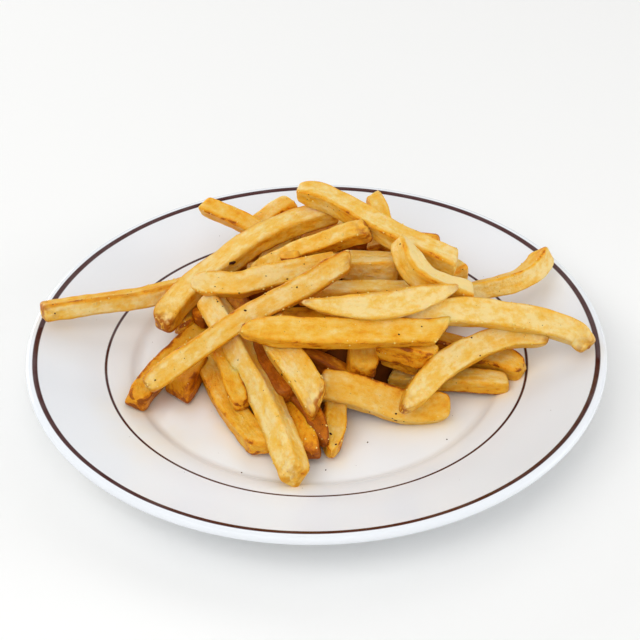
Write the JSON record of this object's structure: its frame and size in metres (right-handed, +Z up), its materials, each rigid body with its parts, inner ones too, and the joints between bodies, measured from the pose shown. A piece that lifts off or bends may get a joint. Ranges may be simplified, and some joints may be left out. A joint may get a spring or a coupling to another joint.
{
  "type": "french fries portion on a plate",
  "caption": "Loose heap of thick-cut fried potato sticks on a round shallow stoneware plate with a sloping rim and a raised foot ring.",
  "frame": {"origin": "centre of the plate, on the plane its foot ring stands on", "axes": "+Z up, -Y towards the near side where the low end of the longest front fry points"},
  "size_m": [0.23, 0.23, 0.0615],
  "materials": {
    "plate": "glossy white glaze with two brown bands on the rim",
    "fries": "fried potato, golden with browned edges and ends, a thin oily sheen"
  },
  "bodies": {
    "root": {"plate": "plate", "fries": "fries"}
  },
  "joints": []
}
